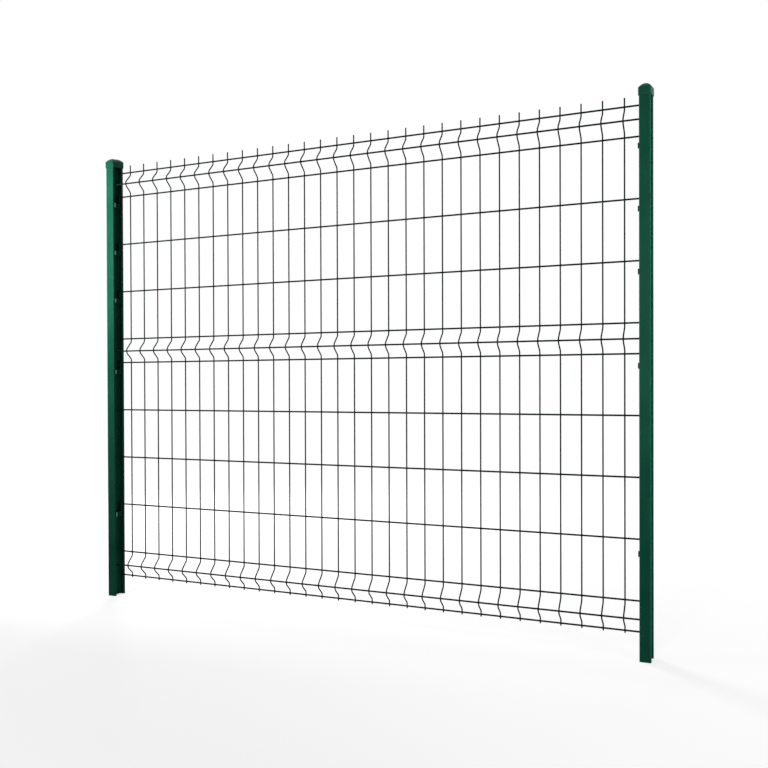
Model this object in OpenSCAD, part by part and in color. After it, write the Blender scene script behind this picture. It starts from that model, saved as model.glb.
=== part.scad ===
// One bay of a welded mesh fence: a rigid panel of steel wire with three folds,
// carried between two rolled steel posts whose grooves take the panel's edges.
// X runs along the fence, Y through it with the folds towards -Y, and Z is up.
// The origin is the middle of the left post's foot.

/* [Panel] */
// Number of upright wires
uprights = 30; // [8:1:40]
// Spacing of the upright wires, centre to centre
upright_pitch = 70; // [50:1:100]
// Thickness of the upright wires
upright_d = 5; // [4:0.5:6]
// Thickness of the cross wires
cross_d = 6; // [4:0.5:7]
// How far two crossing wires melt into each other at the weld
weld_sink = 0.6; // [0.3:0.1:1]
// Height of the lowest cross wire above the ground
bottom_wire_z = 83; // [60:1:150]
// Spacing of the cross wires between the folds
row_pitch = 200; // [150:5:250]
// Cross wires between the bottom and middle folds
lower_rows = 3; // [1:1:5]
// Cross wires between the middle and top folds
upper_rows = 2; // [1:1:5]
// Bare upright above the top cross wire
spike_h = 28; // [10:1:40]
// Bare upright below the bottom cross wire
stub_h = 7; // [3:1:20]

/* [Fold] */
// Spacing of the three cross wires of a fold
fold_pitch = 50; // [45:1:60]
// How far the corner of a fold stands in front of the panel, were it sharp
fold_depth = 36; // [25:1:36]
// Height of a fold between its two outer corners
fold_h = 72; // [60:1:80]
// How far the point of a fold lies below the middle of its height
fold_drop = 3.5; // [0:0.5:5]
// Bend radius at the point of a fold, to the middle of the wire
point_r = 18; // [8:1:18]
// Bend radius where the uprights turn into a fold, to the middle of the wire
shoulder_r = 12; // [6:1:16]

/* [Post] */
// Width of a post along the fence
post_w = 37; // [30:1:60]
// Depth of a post through the fence
post_t = 64; // [60:1:80]
// How far a post rises above the top cross wire
post_over = 36; // [32:1:200]
// Thickness of the rolled steel
post_wall = 1.5; // [1.2:0.1:2.5]
// Thickness of the front and the rear lobe beside the groove
post_lobe = 12; // [11:0.5:13]
// Outer rounding of the lobes
post_r = 4; // [2:0.5:5]
// Rounding at the bottom of the groove
groove_r = 6; // [3:0.5:10]
// Gap from the outermost upright wires to the sides of the posts
post_gap = 53.5; // [30:0.5:80]
// How far the panel sits off the middle, towards the right post
panel_shift = 2.5; // [-3:0.5:3]
// How far the cross wires reach into the grooves
wire_grip = 9; // [4:1:9]

/* [Cap] */
// Depth of the cap's skirt over the front of the post
cap_skirt = 20; // [16:1:40]
// How much higher the rim and the roof lie at the back than at the front
cap_pitch = 11; // [0:1:12]
// Thickness of the cap's skirt
cap_wall = 2.3; // [1.5:0.1:4]
// Thickness of the cap's roof at its front edge
cap_roof = 6; // [2:0.5:10]
// Rise of the crowned roof above its edge
cap_crown = 12; // [4:0.5:18]
// Outer rounding of the cap's corners
cap_r = 6; // [3:0.5:10]
// How far the crowned roof draws in from the front and the back
cap_ends = 22; // [3:0.5:25]

/* [Clip] */
// How far a clip's button lies below the cross wire that it holds
clip_drop = 40; // [25:1:60]
// Height of a clip's body in the groove
clip_body_h = 20; // [10:1:30]
// Thickness of the finger that reaches up to the wire
clip_finger = 6; // [3:0.5:10]
// Height of the saddle that presses on the wire
saddle_h = 15; // [10:1:20]
// How far the saddle wraps round the wire
saddle_wrap = 2; // [0.5:0.5:2.5]
// Height of the button that covers the groove's edge
button_h = 19; // [12:0.5:22]
// Width of the button
button_w = 11; // [6:0.5:16]
// How far the button stands off the post
button_out = 4; // [2:0.5:8]
// How much of the button's width lies over the groove
button_over = 1.5; // [1:0.5:4]

/* [Fits] */
// Clearance between a piece and its seat
seat_gap = 0.3; // [0.1:0.05:0.5]

/* [Hidden] */

// The bay along X
first_upright = post_w / 2 + post_gap + panel_shift;
last_upright = first_upright + (uprights - 1) * upright_pitch;
right_post_x = last_upright + post_gap - panel_shift + post_w / 2;

// The wires' places through the fence
groove_half = post_t / 2 - post_lobe;
cross_y = groove_half - seat_gap - cross_d / 2;
weld_reach = (upright_d + cross_d) / 2 - weld_sink;
upright_y = cross_y - weld_reach;
cross_from = first_upright - post_gap - wire_grip;
cross_to = last_upright + post_gap + wire_grip;

// The cross wires' heights, counted from the ground
bottom_z = bottom_wire_z;
lower_z = bottom_z + 2 * fold_pitch;
middle_z = lower_z + (lower_rows + 1) * row_pitch;
upper_z = middle_z + 2 * fold_pitch;
top_z = upper_z + (upper_rows + 1) * row_pitch;
clip_wires = [
    top_z,
    upper_z + upper_rows * row_pitch,
    upper_z + row_pitch,
    middle_z,
    lower_z + row_pitch
];

// Chords that stand for the bend at a fold's point, so that its middle is flat
point_chords = 3;

// How far the cuts at an upright's bends reach from its middle, in wire thicknesses
cut_reach = 0.6;

// Post and cap
post_h = top_z + 2 * fold_pitch + post_over;
waist_w = 2 * post_wall;
cap_w = post_w + 2 * (seat_gap + cap_wall);
cap_t = post_t + 2 * (seat_gap + cap_wall);
cap_sides = cap_w / 2 - cap_r / 2;

// Degrees between the rings of the cap's crown
crown_step = 15;

post_green = [0.12, 0.38, 0.29];
wire_green = [0.07, 0.22, 0.16];
cap_green = [0.08, 0.28, 0.2];
clip_green = [0.3, 0.42, 0.37];

// The eight-sided bar that stands for a round wire, d across its flats
module bar(d, length) {
    rotate([0, 0, 180 / 8])
        cylinder(d = d / cos(180 / 8), h = length, $fn = 8);
}

// A row of every upright along one straight stretch of their path in Y and Z.
// The stretch is cut along the lines through its ends, so that bends are mitred.
// The cuts reach just past the corners of the bars.
module upright_stretch(from, to, from_cut, to_cut) {
    run = to - from;
    length = norm(run);
    along = run / length;
    start = from - along * upright_d;
    reach = cut_reach * upright_d;
    intersection() {
        for (i = [0 : uprights - 1])
            translate([first_upright + i * upright_pitch, start[0], start[1]])
                rotate([-atan2(along[0], along[1]), 0, 0])
                    bar(upright_d, length + 2 * upright_d);
        translate([first_upright - upright_d, 0, 0])
            rotate([90, 0, 90])
                linear_extrude(last_upright - first_upright + 2 * upright_d)
                    polygon([
                        from + from_cut * reach,
                        to + to_cut * reach,
                        to - to_cut * reach,
                        from - from_cut * reach
                    ]);
    }
}

// The line that halves the bend at point i of a path, or squares off its ends
function side(path, i) =
    let (run = path[i + 1] - path[i]) [run[1], -run[0]] / norm(run);
function cut_line(path, i) =
    i == 0 ? side(path, 0)
    : i == len(path) - 1 ? side(path, i - 1)
    : let (sum = side(path, i - 1) + side(path, i)) sum / (sum * side(path, i));

module upright_row(path) {
    for (i = [0 : len(path) - 2])
        upright_stretch(path[i], path[i + 1], cut_line(path, i), cut_line(path, i + 1));
}

module cross_wire(y, z) {
    translate([cross_from, y, z])
        rotate([0, 90, 0])
            bar(cross_d, cross_to - cross_from);
}

function turned(v, a) = [v[0] * cos(a) - v[1] * sin(a), v[0] * sin(a) + v[1] * cos(a)];

// The points of a round bend at the corner b of the path a, b, c
function bend(a, b, c, radius, chords) =
    let (
        u = (b - a) / norm(b - a),
        v = (c - b) / norm(c - b),
        turn = atan2(u[0] * v[1] - u[1] * v[0], u * v),
        inward = turned(u, 90 * sign(turn)),
        centre = b - u * radius * tan(abs(turn) / 2) + inward * radius
    )
    [for (k = [0 : chords]) centre - radius * turned(inward, turn * k / chords)];

// A fold whose lowest cross wire is at z, with its uprights from z_from to z_to
module fold(z, z_from, z_to) {
    middle = z + fold_pitch;
    foot = [upright_y, z_from];
    lower = [upright_y, middle - fold_h / 2];
    tip = [upright_y - fold_depth, middle - fold_drop];
    upper = [upright_y, middle + fold_h / 2];
    head = [upright_y, z_to];
    point = bend(lower, tip, upper, point_r, point_chords);
    flat_run = point[2] - point[1];
    nested = (point[1] + point[2]) / 2 + turned(flat_run, -90) / norm(flat_run) * weld_reach;
    upright_row(concat(
        [foot],
        bend(foot, lower, tip, shoulder_r, 1),
        point,
        bend(tip, upper, head, shoulder_r, 1),
        [head]
    ));
    cross_wire(cross_y, z);
    cross_wire(nested[0], nested[1]);
    cross_wire(cross_y, z + 2 * fold_pitch);
}

// Flat mesh with a number of cross wires above the fold wire at z
module flat_mesh(z, rows) {
    upright_row([[upright_y, z + row_pitch / 2], [upright_y, z + (rows + 0.5) * row_pitch]]);
    for (i = [1 : rows])
        cross_wire(cross_y, z + i * row_pitch);
}

module top_fold() {
    color(wire_green)
        fold(top_z, top_z - row_pitch / 2, top_z + 2 * fold_pitch + spike_h);
}

module upper_mesh() {
    color(wire_green)
        flat_mesh(upper_z, upper_rows);
}

module middle_fold() {
    color(wire_green)
        fold(middle_z, middle_z - row_pitch / 2, upper_z + row_pitch / 2);
}

module lower_mesh() {
    color(wire_green)
        flat_mesh(lower_z, lower_rows);
}

module bottom_fold() {
    color(wire_green)
        fold(bottom_z, bottom_z - stub_h, lower_z + row_pitch / 2);
}

// A rectangle with rounded corners, centred
module rounded(w, t, r) {
    square([w - 2 * r, t], center = true);
    square([w, t - 2 * r], center = true);
    for (x = [-1, 1], y = [-1, 1])
        translate([x * (w / 2 - r), y * (t / 2 - r)])
            circle(r, $fn = 32);
}

// The post's section: two hollow lobes joined by a waist of two sheets
module post_section() {
    difference() {
        union() {
            for (s = [-1, 1])
                translate([0, s * (groove_half + post_lobe / 2)])
                    rounded(post_w, post_lobe, post_r);
            square([waist_w, post_t - post_lobe], center = true);
            for (x = [-1, 1], y = [-1, 1])
                scale([x, y])
                    translate([waist_w / 2, groove_half - groove_r])
                        difference() {
                            translate([-waist_w / 4, 0])
                                square([groove_r + waist_w / 4, groove_r + post_wall / 2]);
                            translate([groove_r, 0])
                                circle(groove_r, $fn = 32);
                        }
        }
        for (s = [-1, 1])
            translate([0, s * (groove_half + post_lobe / 2)])
                rounded(post_w - 2 * post_wall, post_lobe - 2 * post_wall, post_r - post_wall);
    }
}

module post(x) {
    color(post_green)
        translate([x, 0, 0])
            linear_extrude(post_h)
                post_section();
}

module left_post() {
    post(0);
}

module right_post() {
    post(right_post_x);
}

// Four corner pillars of the cap, drawn in from the sides and from the ends, whose
// feet follow the pitch of the rim
module cap_corners(from_sides, from_ends, from_z, height) {
    w = cap_w - 2 * from_sides;
    t = cap_t - 2 * from_ends;
    r = min(cap_r, 0.49 * w);
    for (x = [-1, 1], y = [-1, 1]) {
        pillar_y = y * (t / 2 - r);
        foot_z = from_z + cap_pitch * (0.5 + pillar_y / cap_t);
        translate([x * (w / 2 - r), pillar_y, foot_z])
            cylinder(r = r, h = height, $fn = 32);
    }
}

// The crown closes in above the wall along a quarter of an ellipse
module cap(x) {
    color(cap_green)
        translate([x, 0, post_h])
            difference() {
                hull() {
                    cap_corners(0, 0, -cap_skirt, cap_skirt + cap_roof);
                    for (a = [crown_step : crown_step : 90]) {
                        drawn = 1 - cos(a);
                        cap_corners(cap_sides * drawn, cap_ends * drawn, cap_roof, cap_crown * sin(a));
                    }
                }
                translate([0, 0, -cap_skirt - 1])
                    linear_extrude(cap_skirt + 1)
                        rounded(post_w + 2 * seat_gap, post_t + 2 * seat_gap, post_r + seat_gap);
            }
}

module left_cap() {
    cap(0);
}

module right_cap() {
    cap(right_post_x);
}

// A plate with round ends, standing on its end, with its back at x = 0
module button() {
    for (z = [-1, 1])
        translate([0, 0, z * (button_h - button_w) / 2])
            rotate([0, 90, 0])
                cylinder(d = button_w, h = button_out, $fn = 48);
    translate([0, -button_w / 2, -(button_h - button_w) / 2])
        cube([button_out, button_w, button_h - button_w]);
}

// A clip that sits in the groove of the post at x, facing the panel along side face,
// with a button over the groove's front edge and a saddle against a cross wire
module clip(x, face, number) {
    wire_z = clip_wires[number - 1];
    button_z = wire_z - clip_drop;
    body_front = -groove_half + seat_gap;
    body_back = cross_y - cross_d / 2 - seat_gap;
    body_to = post_w / 2;
    body_from = waist_w / 2 + groove_r + seat_gap;
    body_w = body_to - body_from;
    color(clip_green)
        translate([x, 0, 0])
            scale([face, 1, 1])
                difference() {
                    union() {
                        translate([body_from, body_front, button_z - clip_body_h / 2])
                            cube([body_w, body_back - body_front, clip_body_h]);
                        translate([body_from, body_back - clip_finger, button_z])
                            cube([body_w, clip_finger, clip_drop]);
                        translate([body_from, body_back - clip_finger, wire_z - saddle_h / 2])
                            cube([body_w, clip_finger + saddle_wrap, saddle_h]);
                        translate([body_to, -groove_half + button_over - button_w / 2, button_z])
                            button();
                    }
                    translate([0, cross_y, wire_z])
                        rotate([0, 90, 0])
                            cylinder(d = cross_d + 2 * seat_gap, h = post_w, $fn = 32);
                }
}

module left_clip_1() { clip(0, 1, 1); }
module left_clip_2() { clip(0, 1, 2); }
module left_clip_3() { clip(0, 1, 3); }
module left_clip_4() { clip(0, 1, 4); }
module left_clip_5() { clip(0, 1, 5); }
module right_clip_1() { clip(right_post_x, -1, 1); }
module right_clip_2() { clip(right_post_x, -1, 2); }
module right_clip_3() { clip(right_post_x, -1, 3); }
module right_clip_4() { clip(right_post_x, -1, 4); }
module right_clip_5() { clip(right_post_x, -1, 5); }

left_post();
right_post();
left_cap();
right_cap();
top_fold();
upper_mesh();
middle_fold();
lower_mesh();
bottom_fold();
left_clip_1();
left_clip_2();
left_clip_3();
left_clip_4();
left_clip_5();
right_clip_1();
right_clip_2();
right_clip_3();
right_clip_4();
right_clip_5();
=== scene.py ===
from math import acos, atan2, cos, pi, radians, sin, tan

import bpy
import numpy as np
from mathutils import Matrix, Vector
from mathutils.geometry import tessellate_polygon


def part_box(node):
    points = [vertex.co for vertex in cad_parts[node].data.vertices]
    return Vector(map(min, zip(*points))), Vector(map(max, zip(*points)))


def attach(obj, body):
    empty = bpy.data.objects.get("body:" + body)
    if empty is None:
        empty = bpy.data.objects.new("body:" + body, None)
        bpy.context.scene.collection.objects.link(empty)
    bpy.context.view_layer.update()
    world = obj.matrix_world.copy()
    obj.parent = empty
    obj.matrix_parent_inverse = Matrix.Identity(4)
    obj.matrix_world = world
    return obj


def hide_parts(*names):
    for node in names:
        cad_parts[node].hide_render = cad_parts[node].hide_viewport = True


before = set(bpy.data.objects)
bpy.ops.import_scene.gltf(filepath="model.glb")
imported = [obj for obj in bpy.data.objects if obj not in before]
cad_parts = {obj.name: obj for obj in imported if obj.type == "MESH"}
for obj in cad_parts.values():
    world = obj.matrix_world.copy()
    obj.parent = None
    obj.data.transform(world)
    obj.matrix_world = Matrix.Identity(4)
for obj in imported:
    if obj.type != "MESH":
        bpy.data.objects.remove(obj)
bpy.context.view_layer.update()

# The posts. Each is rolled from one strip of galvanised steel into two hollow
# lobes with a waist between them, then powder coated green. Its foot goes on
# into a footing, so here it ends in a plain saw cut at the ground.
post_wall = 0.0015
post_lobe = 0.012
post_rounding = 0.004
groove_rounding = 0.006
saw_bevel = 0.0004
arc_steps = 8
post_rings = 16
ring_margin = 0.1
post_green = (0.007, 0.12, 0.066, 1)


def grid_faces(rows, columns):
    """Quads between neighbouring rows of a grid whose columns close into a ring."""
    row, column = np.meshgrid(np.arange(rows - 1), np.arange(columns), indexing="ij")
    corner = row * columns + column
    beside = row * columns + (column + 1) % columns
    return np.stack([corner, beside, beside + columns, corner + columns], -1).reshape(-1, 4)


def ring_fan(ring, tip, outwards):
    """Triangles from a ring of vertex numbers to one tip vertex."""
    after = np.roll(ring, -1)
    tips = np.full_like(ring, tip)
    return np.stack([after, ring, tips] if outwards else [ring, after, tips], -1)


def make_piece(name, points, faces, material, smooth_angle=40):
    """A mesh object from an array of points and a list of face arrays."""
    mesh = bpy.data.meshes.new(name)
    corners = [face for part in faces for face in np.asarray(part).tolist()]
    mesh.from_pydata(np.asarray(points).tolist(), [], corners)
    mesh.shade_smooth()
    mesh.set_sharp_from_angle(angle=radians(smooth_angle))
    mesh.materials.append(material)
    piece = bpy.data.objects.new(name, mesh)
    bpy.context.scene.collection.objects.link(piece)
    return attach(piece, "root")


def arc(centre, radius, start, end, steps=arc_steps):
    """Points of an arc: centre + radius * (cos a, sin a), with a from start to end in degrees."""
    a = np.radians(np.linspace(start, end, steps + 1))
    return np.array(centre) + radius * np.stack([np.cos(a), np.sin(a)], -1)


def rounded_outline(width, depth, rounding, steps=arc_steps):
    """A rectangle with round corners, anticlockwise from its right side, centred."""
    across, along = width / 2 - rounding, depth / 2 - rounding
    corners = [(across, -along, -90), (across, along, 0),
               (-across, along, 90), (-across, -along, 180)]
    return np.vstack([arc((x, y), rounding, a, a + 90, steps) for x, y, a in corners])


def post_outline(width, depth):
    """A quarter of the rolled section as lines and three arcs, mirrored into the other quarters."""
    groove = depth / 2 - post_lobe
    side, front = width / 2 - post_rounding, depth / 2 - post_rounding
    quarter = np.vstack([
        arc((post_wall + groove_rounding, groove - groove_rounding), groove_rounding, 180, 90),
        arc((side, groove + post_rounding), post_rounding, -90, 0),
        arc((side, front), post_rounding, 0, 90),
    ])
    right = np.vstack([quarter[::-1] * (1, -1), quarter])
    return np.vstack([right, right[::-1] * (-1, 1)])


def corner_highlight_and_wear(weights, steps=arc_steps):
    """Lighter edges along a run of arcs, partly rubbing and partly a painted highlight: each arc's
    weight * sin(t), nothing where the flats begin.
    """
    swell = np.sin(np.linspace(0, pi, steps + 1))
    return (np.asarray(weights)[:, None] * swell).ravel()


def clean_noise(tree, vector, scale, detail, label):
    """A noise texture on object coordinates, centred on a half."""
    noise = tree.nodes.new("ShaderNodeTexNoise")
    noise.label = label
    noise.inputs["Scale"].default_value = scale
    noise.inputs["Detail"].default_value = detail
    tree.links.new(vector, noise.inputs["Vector"])
    return noise.outputs["Fac"]


def spread(tree, value, low, high, to_low, to_high):
    """A value carried from one range to another, clamped."""
    node = tree.nodes.new("ShaderNodeMapRange")
    tree.links.new(value, node.inputs["Value"])
    limits = {"From Min": low, "From Max": high, "To Min": to_low, "To Max": to_high}
    for socket, number in limits.items():
        node.inputs[socket].default_value = number
    return node.outputs["Result"]


def blend_colours(tree, factor, first, second, kind="MIX"):
    """Two colours mixed by a factor."""
    node = tree.nodes.new("ShaderNodeMix")
    node.data_type = "RGBA"
    node.blend_type = kind
    first_colour, second_colour = node.inputs[6], node.inputs[7]
    given = ((node.inputs["Factor"], factor), (first_colour, first), (second_colour, second))
    for socket, value in given:
        if isinstance(value, bpy.types.NodeSocket):
            tree.links.new(value, socket)
        else:
            socket.default_value = value
    mixed_colour = node.outputs[2]
    return mixed_colour


drift_scale = 7
patch_scale = 60
grain_scale = 420
peel_scale = 900
deeper_tint = (0.72, 0.76, 0.76, 1)
lighter_tint = (0.3, 0.62, 0.5, 1)
lighter_share = 0.02
grain_share = 0.25
# Rounded edges are made lighter with this tint: partly real rubbing, and at full amount a painted
# highlight along the edge.
highlight_and_wear_tint = (0.06, 0.6, 0.42, 1)
highlight_and_wear_share = 0.35
dust_colour = (0.3, 0.31, 0.28, 1)
dust_share = 0.04


def build_finish_with_wear_and_highlight():
    """Paint or plastic: a colour that drifts a little, a fine grain, an orange peel as its height,
    edges made lighter in patches, partly rubbing and partly a painted highlight, and dust on faces
    that look up."""
    group = bpy.data.node_groups.new("finish_with_wear_and_highlight", "ShaderNodeTree")
    face = group.interface
    face.new_socket("Vector", in_out="INPUT", socket_type="NodeSocketVector")
    face.new_socket("Colour", in_out="INPUT", socket_type="NodeSocketColor")
    face.new_socket("Highlight_and_wear", in_out="INPUT", socket_type="NodeSocketFloat")
    face.new_socket("Sheen", in_out="INPUT", socket_type="NodeSocketFloat")
    face.new_socket("Colour", in_out="OUTPUT", socket_type="NodeSocketColor")
    face.new_socket("Roughness", in_out="OUTPUT", socket_type="NodeSocketFloat")
    face.new_socket("Height", in_out="OUTPUT", socket_type="NodeSocketFloat")
    given = group.nodes.new("NodeGroupInput").outputs
    result = group.nodes.new("NodeGroupOutput").inputs

    drift = clean_noise(group, given["Vector"], drift_scale, 3, "drift of the colour")
    fleck = clean_noise(group, given["Vector"], grain_scale, 2, "grain")
    peel = clean_noise(group, given["Vector"], peel_scale, 1, "orange peel")
    patch = clean_noise(group, given["Vector"], patch_scale, 3, "patches of painted highlight and rubbing")

    deeper = blend_colours(group, 1.0, given["Colour"], deeper_tint, "MULTIPLY")
    lighter = blend_colours(group, lighter_share, given["Colour"], lighter_tint)
    toned = blend_colours(group, spread(group, drift, 0.3, 0.7, 0, 1), deeper, lighter)
    grained = blend_colours(group, spread(group, fleck, 0.35, 0.7, 0, grain_share), toned, deeper)

    # Lighter edges in patches, scaled by the edge attribute: partly rubbing, and a painted
    # highlight where the amount is full.
    highlight_and_wear_mask = group.nodes.new("ShaderNodeMath")
    highlight_and_wear_mask.operation = "MULTIPLY"
    group.links.new(given["Highlight_and_wear"], highlight_and_wear_mask.inputs[0])
    group.links.new(spread(group, patch, 0.35, 0.65, 0.5, 1), highlight_and_wear_mask.inputs[1])
    highlight_and_wear_colour = blend_colours(group, highlight_and_wear_share, given["Colour"], highlight_and_wear_tint)
    with_highlight_and_wear = blend_colours(group, highlight_and_wear_mask.outputs[0], grained, highlight_and_wear_colour)

    upright = group.nodes.new("ShaderNodeSeparateXYZ")
    group.links.new(group.nodes.new("ShaderNodeNewGeometry").outputs["Normal"], upright.inputs[0])
    settled = spread(group, upright.outputs["Z"], 0.35, 1.0, 0, dust_share)
    dusted = blend_colours(group, settled, with_highlight_and_wear, dust_colour)
    group.links.new(dusted, result["Colour"])

    gloss = group.nodes.new("ShaderNodeMath")
    gloss.operation = "ADD"
    group.links.new(given["Sheen"], gloss.inputs[0])
    group.links.new(spread(group, drift, 0.3, 0.7, -0.05, 0.07), gloss.inputs[1])
    group.links.new(gloss.outputs[0], result["Roughness"])
    group.links.new(peel, result["Height"])
    return group


finish_with_wear_and_highlight = build_finish_with_wear_and_highlight()


def coated(name, colour, roughness, specular, peel_depth):
    """A material with the finish group in one colour, whose lighter edges are partly a painted
    highlight, and its own gloss and depth of peel.
    """
    material = bpy.data.materials.new(name)
    material.use_nodes = True
    tree = material.node_tree
    shader = tree.nodes["Principled BSDF"]
    shader.inputs["Specular IOR Level"].default_value = specular
    coat = tree.nodes.new("ShaderNodeGroup")
    coat.node_tree = finish_with_wear_and_highlight
    coat.inputs["Colour"].default_value = colour
    coat.inputs["Sheen"].default_value = roughness
    tree.links.new(tree.nodes.new("ShaderNodeTexCoord").outputs["Object"], coat.inputs["Vector"])
    # This attribute sets how far the edges are lightened, for rubbing and for a painted highlight.
    painted_highlight_and_wear = tree.nodes.new("ShaderNodeAttribute")
    painted_highlight_and_wear.attribute_name = "painted_highlight_and_wear"
    tree.links.new(painted_highlight_and_wear.outputs["Fac"], coat.inputs["Highlight_and_wear"])
    bump = tree.nodes.new("ShaderNodeBump")
    bump.inputs["Strength"].default_value = 0.5
    bump.inputs["Distance"].default_value = peel_depth
    tree.links.new(coat.outputs["Height"], bump.inputs["Height"])
    tree.links.new(coat.outputs["Colour"], shader.inputs["Base Color"])
    tree.links.new(coat.outputs["Roughness"], shader.inputs["Roughness"])
    tree.links.new(bump.outputs["Normal"], shader.inputs["Normal"])
    return material


def mark(piece, attribute, amount):
    """Stores a share from 0 to 1 on each vertex, such as how far an edge is lightened by rubbing
    and painted highlight.
    """
    values = piece.data.attributes.new(attribute, "FLOAT", "POINT")
    values.data.foreach_set("value", np.asarray(amount, np.float32))


def build_post(name, edge_highlight_and_wear):
    """The section carried up the post's box, with a bevelled saw cut at both ends. Each loop of the
    section is a column of rings, and the ends are filled between the loops."""
    low, high = (np.array(corner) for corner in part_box(name))
    middle = (low + high) / 2
    width, depth = high[0] - low[0], high[1] - low[1]
    outer = post_outline(width, depth)
    lobe_y = depth / 2 - post_lobe / 2
    hollow = rounded_outline(width - 2 * post_wall, post_lobe - 2 * post_wall,
                             post_rounding - post_wall)
    loops = [outer, (hollow + (0, -lobe_y))[::-1], (hollow + (0, lobe_y))[::-1]]
    between = np.linspace(low[2] + ring_margin, high[2] - ring_margin, post_rings)
    heights = np.array([low[2], low[2] + saw_bevel, *between, high[2] - saw_bevel, high[2]])
    unmarked = np.zeros(len(hollow))
    highlight_and_wear_by_loop = [corner_highlight_and_wear(edge_highlight_and_wear * np.tile([1, 1, 0, 0, 1, 1], 2)), unmarked, unmarked]
    points, faces, highlight_and_wear_runs, start, ends = [], [], [], 0, []
    for loop, loop_highlight_and_wear in zip(loops, highlight_and_wear_by_loop):
        before, after = np.roll(loop, 1, 0), np.roll(loop, -1, 0)
        outward = (after - before)[:, ::-1] * (1, -1)
        outward /= np.linalg.norm(outward, axis=1)[:, None]
        inset = np.where((heights == low[2]) | (heights == high[2]), saw_bevel, 0)
        plan = loop[None] - outward[None] * inset[:, None, None]
        rings = np.dstack([plan + middle[:2], np.broadcast_to(heights[:, None], plan.shape[:2])])
        points.append(rings.reshape(-1, 3))
        faces.append(grid_faces(len(heights), len(loop)) + start)
        highlight_and_wear_runs.append(np.tile(loop_highlight_and_wear, len(heights)))
        ends.append((plan, start))
        start += len(heights) * len(loop)
    for row, downwards in ((0, True), (len(heights) - 1, False)):
        polygon = [[Vector((*p, 0)) for p in plan[row]] for plan, _ in ends]
        numbers = np.concatenate([first + row * len(plan[row]) + np.arange(len(plan[row]))
                                  for plan, first in ends])
        flat = np.concatenate([plan[row] for plan, _ in ends])
        triangles = np.array(tessellate_polygon(polygon))
        a, b, c = (flat[triangles[:, k]] for k in range(3))
        signed = (b - a)[:, 0] * (c - a)[:, 1] - (b - a)[:, 1] * (c - a)[:, 0]
        turned = np.where(((signed > 0) == downwards)[:, None], triangles[:, ::-1], triangles)
        faces.append(numbers[turned])
    post = make_piece(name + "_tube", np.vstack(points), faces, post_coat)
    mark(post, "painted_highlight_and_wear", np.concatenate(highlight_and_wear_runs))
    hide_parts(name)


post_coat = coated("post_coat", post_green, roughness=0.42, specular=0.03, peel_depth=0.00006)
# Both posts get lighter rounded edges: on the right post at full amount, a painted highlight down
# its front edge; on the left post a fifth of it, as a little rubbing.
build_post("left_post", edge_highlight_and_wear=0.2)
build_post("right_post", edge_highlight_and_wear=1.0)

# The upright wires. Thirty lengths of 5 mm steel wire are welded to the cross
# wires while flat, and a press then folds the panel in three places. The shears
# leave a short free end above the top wire and below the bottom one.
upright_d = 0.005
cross_d = 0.006
weld_sink = 0.0006
post_gap = 0.0535
wire_grip = 0.009
upright_pitch = 0.07
upright_count = 30
fold_pitch = 0.05
row_pitch = 0.2
spike_h = 0.028
stub_h = 0.007
fold_depth = 0.036
fold_height = 0.072
fold_drop = 0.0035
point_radius = 0.018
shoulder_radius = 0.012
seat_gap = 0.0003
bend_steps = 10
wire_sides = 16
shear_chamfer = 0.0004
wire_green = (0.003, 0.014, 0.01, 1)

post_low, post_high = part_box("left_post")
mesh_low, mesh_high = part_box("top_fold")
stub_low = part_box("bottom_fold")[0]
cross_y = post_high.y - post_lobe - seat_gap - cross_d / 2
wires_apart = (upright_d + cross_d) / 2 - weld_sink
upright_y = cross_y - wires_apart
cross_span = (mesh_low.x, mesh_high.x)
upright_x = cross_span[0] + wire_grip + post_gap + upright_pitch * np.arange(upright_count)
bottom_z = stub_low.z + stub_h
fold_z = [bottom_z, bottom_z + 2 * fold_pitch + 4 * row_pitch,
          mesh_high.z - spike_h - 2 * fold_pitch]
wire_coat = coated("wire_coat", wire_green, roughness=0.45, specular=0.04, peel_depth=0.00005)


def rounded_path(corners, radii, steps):
    """A path of straight lines whose corners are arcs tangent to both lines."""
    path = [corners[0]]
    for before, corner, after, radius in zip(corners, corners[1:], corners[2:], radii):
        come = (corner - before) / np.linalg.norm(corner - before)
        go = (after - corner) / np.linalg.norm(after - corner)
        turn = atan2(come[0] * go[1] - come[1] * go[0], come @ go)
        inward = np.array([-come[1], come[0]]) * np.sign(turn)
        centre = corner - come * radius * tan(abs(turn) / 2) + inward * radius
        angles = np.linspace(0, turn, steps + 1)
        spokes = np.stack([inward[0] * np.cos(angles) - inward[1] * np.sin(angles),
                           inward[0] * np.sin(angles) + inward[1] * np.cos(angles)], -1)
        path.extend(centre - radius * spokes)
    path.append(corners[-1])
    return np.array(path)


def upright_path():
    """Straight up in the panel's plane, out to each fold's point and back, as (y, z)."""
    corners, radii = [np.array([upright_y, stub_low.z])], []
    for z in fold_z:
        middle = z + fold_pitch
        corners.append(np.array([upright_y, middle - fold_height / 2]))
        corners.append(np.array([upright_y - fold_depth, middle - fold_drop]))
        corners.append(np.array([upright_y, middle + fold_height / 2]))
        radii += [shoulder_radius, point_radius, shoulder_radius]
    corners.append(np.array([upright_y, mesh_high.z]))
    return rounded_path(corners, radii, bend_steps)


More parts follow.
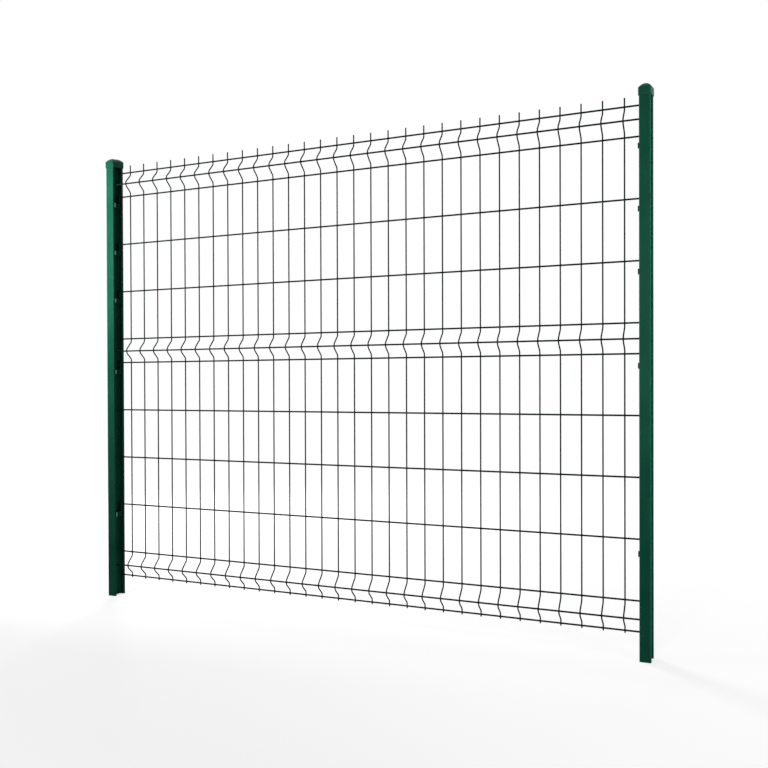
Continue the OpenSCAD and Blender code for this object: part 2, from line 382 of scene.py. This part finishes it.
def wire_along(path, side, radius):
    """A circle carried along a path: path(i) + r(i) * (cos a * side + sin a * (tangent(i) x side)).
    The end rings draw in to the shears' chamfer, and a point closes each end."""
    tangent = np.gradient(path, axis=0)
    tangent /= np.linalg.norm(tangent, axis=1)[:, None]
    first, last = path[0], path[-1]
    path = np.vstack([first, first + tangent[0] * shear_chamfer, path[1:-1],
                      last - tangent[-1] * shear_chamfer, last])
    tangent = np.vstack([tangent[0], tangent[0], tangent[1:-1], tangent[-1], tangent[-1]])
    radii = np.full(len(path), radius)
    radii[[0, -1]] -= shear_chamfer
    normal = np.cross(tangent, side)
    angle = np.arange(wire_sides) * 2 * pi / wire_sides
    spoke = np.cos(angle)[None, :, None] * side + np.sin(angle)[None, :, None] * normal[:, None]
    rings = path[:, None] + radii[:, None, None] * spoke
    count = len(path) * wire_sides
    faces = [grid_faces(len(path), wire_sides)[:, ::-1],
             ring_fan(np.arange(wire_sides), count, False),
             ring_fan(np.arange(wire_sides) + count - wire_sides, count + 1, True)]
    return np.vstack([rings.reshape(-1, 3), first, last]), faces


def repeated(points, faces, places):
    """One shape's arrays copied to several places."""
    many = (points[None] + np.asarray(places)[:, None]).reshape(-1, 3)
    steps = np.arange(len(places))[:, None, None] * len(points)
    return many, [(part[None] + steps).reshape(-1, part.shape[1]) for part in faces]


path_yz = upright_path()
upright_line = np.column_stack([np.zeros(len(path_yz)), path_yz])
one_upright = wire_along(upright_line, np.array([1.0, 0, 0]), upright_d / 2)
upright_places = np.column_stack([upright_x, np.zeros(upright_count), np.zeros(upright_count)])
upright_wires = make_piece("upright_wires", *repeated(*one_upright, upright_places), wire_coat)
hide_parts("top_fold", "upper_mesh", "middle_fold", "lower_mesh", "bottom_fold")

# The cross wires. Fourteen straight steel wires of 6 mm run from groove to groove
# behind the uprights. Three hold each fold, one of them inside its point, and the
# others lie 200 mm apart between the folds.
cross_steps = 32
fold_rows = np.array([z + k * 2 * fold_pitch for z in fold_z for k in (0, 1)])
open_rows = np.array([fold_z[below] + 2 * fold_pitch + k * row_pitch
                      for below, k in ((0, 1), (0, 2), (0, 3), (1, 1), (1, 2))])
flat_rows = np.sort(np.concatenate([fold_rows, open_rows]))


def point_middle(z):
    """The middle of the bend at a fold's point, as (y, z), and the direction into the fold."""
    middle = z + fold_pitch
    tip = np.array([upright_y - fold_depth, middle - fold_drop])
    down = np.array([upright_y, middle - fold_height / 2]) - tip
    up = np.array([upright_y, middle + fold_height / 2]) - tip
    inward = down / np.linalg.norm(down) + up / np.linalg.norm(up)
    half = np.linalg.norm(inward) / 2
    inward /= np.linalg.norm(inward)
    return tip + inward * point_radius * (1 / (1 - half ** 2) ** 0.5 - 1), inward


fold_points = [point_middle(z) for z in fold_z]
cross_places = [(0, cross_y, z) for z in flat_rows]
cross_places += [(0, *(at + inward * wires_apart)) for at, inward in fold_points]
cross_line = np.outer(np.linspace(*cross_span, cross_steps), (1, 0, 0))
one_cross = wire_along(cross_line, np.array([0, 0, 1.0]), cross_d / 2)
cross_wires = make_piece("cross_wires", *repeated(*one_cross, cross_places), wire_coat)

# The welds. Each crossing is pressed together hot between two electrodes, so a
# little steel is squeezed out into the four corners between the wires. The
# powder coat covers it.
bead_reach = 0.0034
bead_waist = 0.0022
bead_half = 0.0012
bead_sides = 12
bead_rows = 5
bead_fullness = 0.6
bead_depth = (upright_d - weld_sink) / 2


def weld_bead(across, along, out):
    """A flat lens with four lobes: reach(a) * cos(t)^fullness in the plane of the wires and
    half * sin(t) out of it, where reach is longest halfway between the wires."""
    angle = np.arange(bead_sides) * 2 * pi / bead_sides
    tilt = np.linspace(-pi / 2, pi / 2, bead_rows + 2)[1:-1]
    reach = bead_waist + (bead_reach - bead_waist) * np.abs(np.sin(2 * angle))
    flat = np.cos(tilt)[:, None] ** bead_fullness * reach
    plane = np.cos(angle)[:, None] * across + np.sin(angle)[:, None] * along
    rings = flat[..., None] * plane + (bead_half * np.sin(tilt))[:, None, None] * out
    count = bead_rows * bead_sides
    points = np.vstack([rings.reshape(-1, 3), -bead_half * out, bead_half * out])
    faces = [grid_faces(bead_rows, bead_sides), ring_fan(np.arange(bead_sides), count, True),
             ring_fan(np.arange(bead_sides) + count - bead_sides, count + 1, False)]
    return points, faces


def weld_row(y, z, inward):
    """One bead on every upright at a cross wire, where the two wires' skins meet."""
    out = np.array([0, *inward])
    along = np.cross(out, (1.0, 0, 0))
    points, faces = weld_bead(np.array([1.0, 0, 0]), along, out)
    return repeated(points, faces, [(x, y, z) for x in upright_x])


weld_lines = [weld_row(upright_y + bead_depth, z, (1.0, 0)) for z in flat_rows]
weld_lines += [weld_row(*(at + inward * bead_depth), inward) for at, inward in fold_points]
weld_points = np.vstack([points for points, _ in weld_lines])
row_points = len(weld_lines[0][0])
weld_faces = [part + k * row_points for k, (_, faces) in enumerate(weld_lines) for part in faces]
weld_spots = make_piece("weld_spots", weld_points, weld_faces, wire_coat, smooth_angle=60)

# The caps. Each is a moulded plastic cover pushed over the post's head, with a
# straight skirt and a roof crowned both ways. Rim and roof both rise towards the
# back. The upright corners are made lighter: on the right cap at full amount, a
# painted highlight, and on the left cap a fifth of it, as a little rubbing.
cap_skirt = 0.02
cap_pitch = 0.011
cap_wall = 0.0023
cap_roof = 0.0048
cap_crown = 0.0131
crown_power = 1.93
cap_rounding = 0.006
cap_ends = 0.0216
ridge_width = 0.0055
rim_rounding = 0.0008
corner_steps = 6
crown_rings = 15
rounding_limit = 0.49
cap_green = (0.007, 0.115, 0.062, 1)
cap_plastic = coated("cap_plastic", cap_green, roughness=0.4, specular=0.08, peel_depth=0.00004)


def build_cap(name, edge_highlight_and_wear):
    """Rings of a rounded rectangle from the socket's roof down inside, round the rim, up the skirt
    and in over the crown, where they draw in by t and rise by 1 - (1 - t)^power. All but the
    socket's roof are lifted by pitch * (1/2 + y / depth), with y held level round the corners."""
    low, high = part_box(name)
    width, depth = high.x - low.x, high.y - low.y
    middle = ((low.x + high.x) / 2, (low.y + high.y) / 2)
    rings = []

    def ring(side_in, end_in, z, rounding=cap_rounding, pitch=cap_pitch):
        w, d = width - 2 * side_in, depth - 2 * end_in
        rounding = min(rounding, rounding_limit * w)
        plan = rounded_outline(w, d, rounding, corner_steps)
        level = d / 2 - rounding
        lift = pitch * (0.5 + np.clip(plan[:, 1], -level, level) / depth)
        rings.append(np.column_stack([plan + middle, post_high.z + z + lift]))

    socket_rounding = cap_rounding - cap_wall
    ring(cap_wall, cap_wall, 0, socket_rounding, 0)
    ring(cap_wall, cap_wall, rim_rounding - cap_skirt, socket_rounding)
    rim_in = cap_wall - rim_rounding / 2
    ring(rim_in, rim_in, -cap_skirt, socket_rounding + rim_rounding / 2)
    for a in np.radians([90, 60, 30, 0]):
        drawn = rim_rounding * (1 - cos(a))
        ring(drawn, drawn, rim_rounding * (1 - sin(a)) - cap_skirt)
    for t in np.linspace(0, 1, crown_rings):
        rise = 1 - (1 - t) ** crown_power
        ring((width - ridge_width) / 2 * t, cap_ends * t, cap_roof + cap_crown * rise)
    columns = len(rings[0])
    count = len(rings) * columns
    faces = [grid_faces(len(rings), columns), [list(range(columns))[::-1]],
             [list(range(count - columns, count))]]
    cap = make_piece(name + "_cover", np.vstack(rings), faces, cap_plastic, smooth_angle=50)
    mark(cap, "painted_highlight_and_wear", np.tile(corner_highlight_and_wear(edge_highlight_and_wear * np.ones(4), corner_steps), len(rings)))
    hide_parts(name)


build_cap("left_cap", edge_highlight_and_wear=0.2)
build_cap("right_cap", edge_highlight_and_wear=1.0)

# The clips. Ten moulded nylon blocks sit in the grooves that face the panel. Each
# reaches up with a finger whose saddle presses a cross wire against the rear lobe,
# and a flat steel button, pressed into its side, holds it to the front lobe.
saddle_height = 0.015
saddle_wrap = 0.002
finger_depth = 0.006
clip_drop = 0.04
clip_body = 0.02
button_height = 0.019
button_width = 0.0085
button_out = 0.004
button_edge = 0.0006
button_over = 0.0015
clip_rounding = 0.0006
notch_steps = 8
bevel_angle = 40
button_rim_rings = 2
clip_green = (0.004, 0.06, 0.034, 1)
button_green = (0.07, 0.165, 0.125, 1)
# The button's side wall gets a dark green as painted shade, so that only its face shows as a pale
# dot.
button_side_shade = (0.002, 0.03, 0.018, 1)
clip_nylon = coated("clip_nylon", clip_green, roughness=0.6, specular=0.03, peel_depth=0.00003)


def face_only_metal(material, side_shade_colour):
    """Bare metal where the piece's bare attribute is 1; where it is 0, the dark colour given for
    the button's side wall, which is painted shade.
    """
    tree = material.node_tree
    shader = tree.nodes["Principled BSDF"]
    bare = tree.nodes.new("ShaderNodeAttribute")
    bare.attribute_name = "bare"
    polished = shader.inputs["Base Color"].links[0].from_socket
    toned = blend_colours(tree, bare.outputs["Fac"], side_shade_colour, polished)
    tree.links.new(toned, shader.inputs["Base Color"])
    tree.links.new(bare.outputs["Fac"], shader.inputs["Metallic"])


button_steel = coated("button_steel", button_green, roughness=0.4, specular=0.03,
                      peel_depth=0.00003)
face_only_metal(button_steel, button_side_shade)


def clip_profile(front, back, wire_z):
    """The clip seen along the fence, as (y, z): body, finger and saddle in one outline, with a
    notch round the wire whose arc is centre + radius * (cos a, sin a)."""
    button_z = wire_z - clip_drop
    radius = cross_d / 2 + seat_gap
    face = back + saddle_wrap
    half = acos((cross_y - face) / radius)
    angles = np.linspace(pi + half, pi - half, notch_steps + 1)
    notch = np.array([cross_y, wire_z]) + radius * np.stack([np.cos(angles), np.sin(angles)], -1)
    below = [(front, button_z - clip_body / 2), (back, button_z - clip_body / 2),
             (back, wire_z - saddle_height / 2), (face, wire_z - saddle_height / 2)]
    finger = back - finger_depth
    above = [(face, wire_z + saddle_height / 2), (finger, wire_z + saddle_height / 2),
             (finger, button_z + clip_body / 2), (front, button_z + clip_body / 2)]
    return np.vstack([below, notch, above])


def build_clip(name, post_name, facing):
    """The outline carried through the clip's width, and rings of a pill shape that stand out from
    the post's side and draw in round the button's edge by 1 - cos(t) while they rise by sin(t)."""
    low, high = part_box(name)
    post_from, post_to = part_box(post_name)
    side = post_to.x if facing > 0 else post_from.x
    inner = low.x if facing > 0 else high.x
    wire_z = high.z - saddle_height / 2
    front, back = post_low.y + post_lobe + seat_gap, cross_y - cross_d / 2 - seat_gap
    profile = clip_profile(front, back, wire_z)
    count = len(profile)
    ends = [np.column_stack([np.full(count, x), profile]) for x in sorted((inner, side))]
    faces = [grid_faces(2, count), [list(range(count))[::-1]], [list(range(count, 2 * count))]]
    body = make_piece(name + "_body", np.vstack(ends), faces, clip_nylon, smooth_angle=30)
    edge = body.modifiers.new("moulded_edges", "BEVEL")
    edge.width = clip_rounding
    edge.segments = 2
    edge.limit_method = "ANGLE"
    edge.angle_limit = radians(bevel_angle)
    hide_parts(name)

    rings = []
    rises = [(0, 0), (0, button_out - button_edge)]
    rises += [(button_edge * (1 - cos(a)), button_out - button_edge * (1 - sin(a)))
              for a in np.radians(np.arange(15, 91, 15))]
    rises.append((2 * button_edge, button_out))
    place = (post_low.y + post_lobe + button_over - button_width / 2, wire_z - clip_drop)
    for drawn, out in rises:
        plan = place + rounded_outline(button_width - 2 * drawn, button_height - 2 * drawn,
                                       button_width / 2 - drawn, corner_steps)
        rings.append(np.column_stack([np.full(len(plan), side + facing * out), plan]))
    columns = len(rings[0])
    count = len(rings) * columns
    faces = [grid_faces(len(rings), columns), np.array([range(columns)])[:, ::-1],
             np.array([range(count - columns, count)])]
    if facing < 0:
        faces = [part[:, ::-1] for part in faces]
    button = make_piece(name + "_button", np.vstack(rings), faces, button_steel, smooth_angle=50)
    on_face = np.arange(len(rings)) > button_rim_rings
    mark(button, "bare", np.repeat(on_face, columns))


for number in range(1, 6):
    build_clip(f"left_clip_{number}", "left_post", 1)
    build_clip(f"right_clip_{number}", "right_post", -1)

# The floor and the light: a pale studio floor that keeps a soft shadow, lamps at
# the head of the left post, before and beside the right post and behind the bay,
# and an even white surround.
floor_size = 14
bay_middle = (1.1, 0, 0)
glow_starts, glow_ends = 1.2, 3.5
glow_near, glow_far = 0.74, 0.93
ambient = 0.09
floor_mesh = bpy.data.meshes.new("studio_floor")
half = floor_size / 2
floor_corners = [(-half, -half, 0), (half, -half, 0), (half, half, 0), (-half, half, 0)]
floor_mesh.from_pydata(floor_corners, [], [(0, 1, 2, 3)])
studio_floor = bpy.data.objects.new("studio_floor", floor_mesh)
bpy.context.scene.collection.objects.link(studio_floor)


def paper_material():
    """Pale paper that the camera sees as near white, with its shadows kept. Its own glow grows away
    from the bay, where the lamps no longer reach, so that no edge of the floor shows."""
    material = bpy.data.materials.new("pale_paper")
    material.use_nodes = True
    tree = material.node_tree
    tree.nodes.remove(tree.nodes["Principled BSDF"])
    seen = tree.nodes.new("ShaderNodeLightPath")
    paper = tree.nodes.new("ShaderNodeBsdfDiffuse")
    paper.inputs["Color"].default_value = (0.8, 0.8, 0.8, 1)
    glow = tree.nodes.new("ShaderNodeEmission")
    glow.inputs["Color"].default_value = (1, 1, 1, 1)
    direct = tree.nodes.new("ShaderNodeMath")
    direct.operation = "MAXIMUM"
    tree.links.new(seen.outputs["Is Camera Ray"], direct.inputs[0])
    tree.links.new(seen.outputs["Is Glossy Ray"], direct.inputs[1])
    away = tree.nodes.new("ShaderNodeVectorMath")
    away.operation = "DISTANCE"
    away.inputs[1].default_value = bay_middle
    tree.links.new(tree.nodes.new("ShaderNodeTexCoord").outputs["Object"], away.inputs[0])
    lift = tree.nodes.new("ShaderNodeMath")
    lift.operation = "MULTIPLY"
    tree.links.new(direct.outputs[0], lift.inputs[0])
    grows = spread(tree, away.outputs["Value"], glow_starts, glow_ends, glow_near, glow_far)
    tree.links.new(grows, lift.inputs[1])
    tree.links.new(lift.outputs[0], glow.inputs["Strength"])
    both = tree.nodes.new("ShaderNodeAddShader")
    tree.links.new(paper.outputs[0], both.inputs[0])
    tree.links.new(glow.outputs[0], both.inputs[1])
    tree.links.new(both.outputs[0], tree.nodes["Material Output"].inputs["Surface"])
    return material


floor_mesh.materials.append(paper_material())


def soft_lamp(name, place, target, size, power, beam):
    """A square lamp at a place, facing a target, with its light kept within a beam in degrees."""
    lamp = bpy.data.lights.new(name, "AREA")
    lamp.size = size
    lamp.energy = power
    lamp.spread = radians(beam)
    holder = bpy.data.objects.new(name, lamp)
    holder.visible_camera = False
    holder.location = place
    holder.rotation_euler = (Vector(target) - Vector(place)).to_track_quat("-Z", "Y").to_euler()
    bpy.context.scene.collection.objects.link(holder)


soft_lamp("head_lamp", (-0.15, -1.0, 1.6), (-0.05, 0.0, 1.58), size=0.5, power=13.5, beam=150)
soft_lamp("front_lamp", (2.2, -2.4, 1.35), (2.17, 0.0, 1.1), size=0.8, power=4.9, beam=80)
soft_lamp("side_lamp", (3.3, -0.65, 1.9), (2.19, 0.0, 1.85), size=0.4, power=2, beam=180)
soft_lamp("back_lamp", (-1.8, 3.0, 2.6), (1.1, 0.0, 0.9), size=1.5, power=45, beam=150)

surround = bpy.data.worlds.new("white_surround")
surround.use_nodes = True
bpy.context.scene.world = surround
surround_tree = surround.node_tree
surround_glow = surround_tree.nodes["Background"]
surround_glow.inputs["Color"].default_value = (1, 1, 1, 1)
surround_rays = surround_tree.nodes.new("ShaderNodeLightPath")
surround_seen = surround_rays.outputs["Is Camera Ray"]
for ray in ("Is Glossy Ray", "Is Transmission Ray"):
    either = surround_tree.nodes.new("ShaderNodeMath")
    either.operation = "MAXIMUM"
    surround_tree.links.new(surround_seen, either.inputs[0])
    surround_tree.links.new(surround_rays.outputs[ray], either.inputs[1])
    surround_seen = either.outputs[0]
surround_level = spread(surround_tree, surround_seen, 0, 1, ambient, 1)
surround_tree.links.new(surround_level, surround_glow.inputs["Strength"])
bpy.context.scene.view_settings.view_transform = "Standard"

# The camera stands to the right of the bay at about half its height, turned
# towards the left post, with the frame shifted a little.
camera_place = Vector((2.57142, -2.88460, 0.88471))
camera_yaw = radians(24.6057)
camera_pitch = radians(-0.4213)
camera_roll = radians(-0.1847)
picture_px = 768
focal_px = 871.287
centre_row_px = 391.31

ahead = Vector((-sin(camera_yaw) * cos(camera_pitch), cos(camera_yaw) * cos(camera_pitch),
                sin(camera_pitch)))
level = Vector((cos(camera_yaw), sin(camera_yaw), 0))
above = level.cross(ahead)
right = level * cos(camera_roll) + above * sin(camera_roll)
up = above * cos(camera_roll) - level * sin(camera_roll)
lens = bpy.data.cameras.new("photo_camera")
lens.lens = lens.sensor_width * focal_px / picture_px
lens.shift_y = (centre_row_px - picture_px / 2) / picture_px
camera = bpy.data.objects.new("photo_camera", lens)
turned = Matrix((right, up, -ahead)).transposed().to_4x4()
camera.matrix_world = Matrix.Translation(camera_place) @ turned
bpy.context.scene.collection.objects.link(camera)
bpy.context.scene.camera = camera
